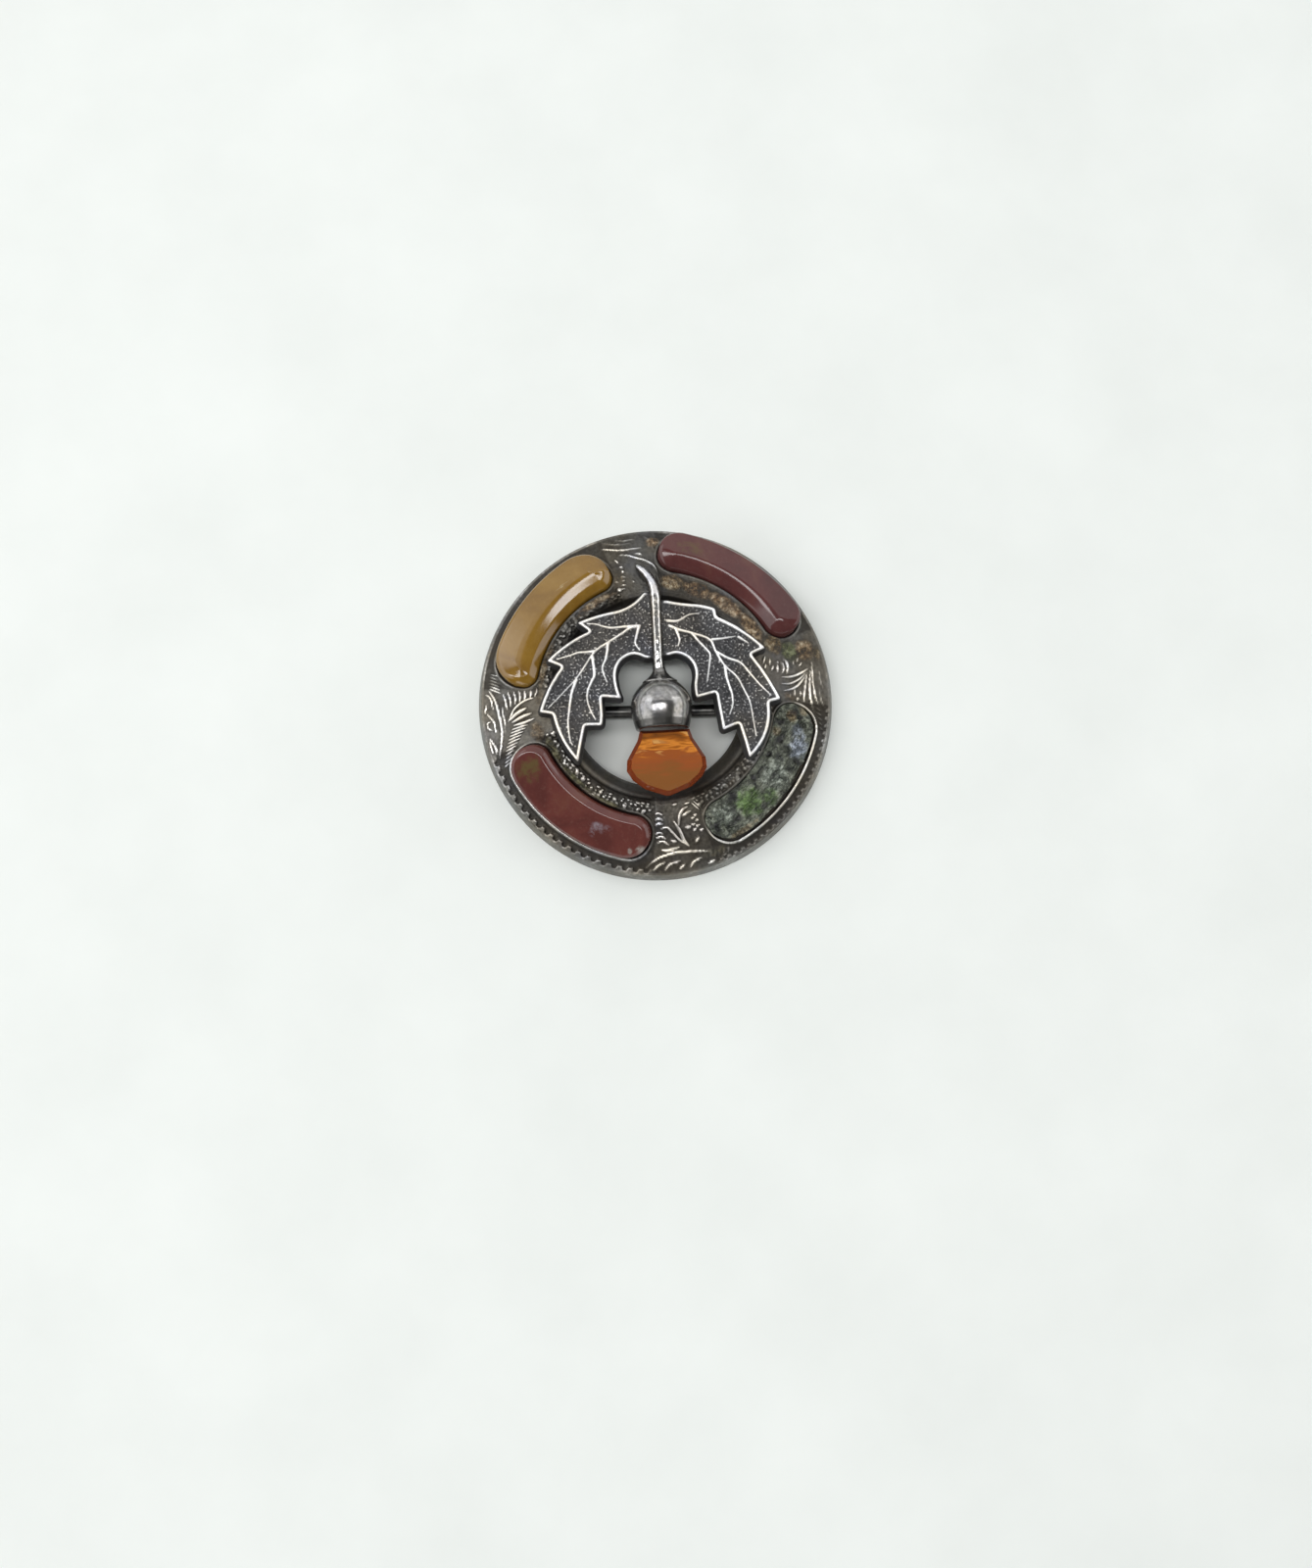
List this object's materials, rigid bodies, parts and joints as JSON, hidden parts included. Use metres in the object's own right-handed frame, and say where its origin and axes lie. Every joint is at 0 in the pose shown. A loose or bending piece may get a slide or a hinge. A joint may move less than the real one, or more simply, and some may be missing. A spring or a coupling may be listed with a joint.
{
  "type": "silver brooch",
  "caption": "Round domed silver brooch with jasper slabs in kidney-shaped pockets, a pierced centre with thistle leaves, a ball and a faceted citrine, and a pin behind.",
  "frame": {"origin": "centre of the rim's foot, on the surface that the brooch lies on", "axes": "+Z out of the brooch's face, +Y towards the tip of the thistle's stem, +X to the right as seen from the front"},
  "size_m": [0.038, 0.038, 0.0084],
  "materials": {
    "silver": "tarnished cast silver with bright worn ridges and dark recesses",
    "ochre_jasper": "polished",
    "red_jasper": "polished",
    "citrine": "faceted and polished",
    "old_cement": "crumbly and matt",
    "pin_metal": "dark, dull"
  },
  "bodies": {
    "root": {"silver_frame": "silver", "stone_ochre": "ochre_jasper", "stone_red_upper": "red_jasper", "stone_red_lower": "red_jasper", "pocket_cement": "old_cement", "citrine": "citrine", "pin": "pin_metal"}
  },
  "joints": []
}
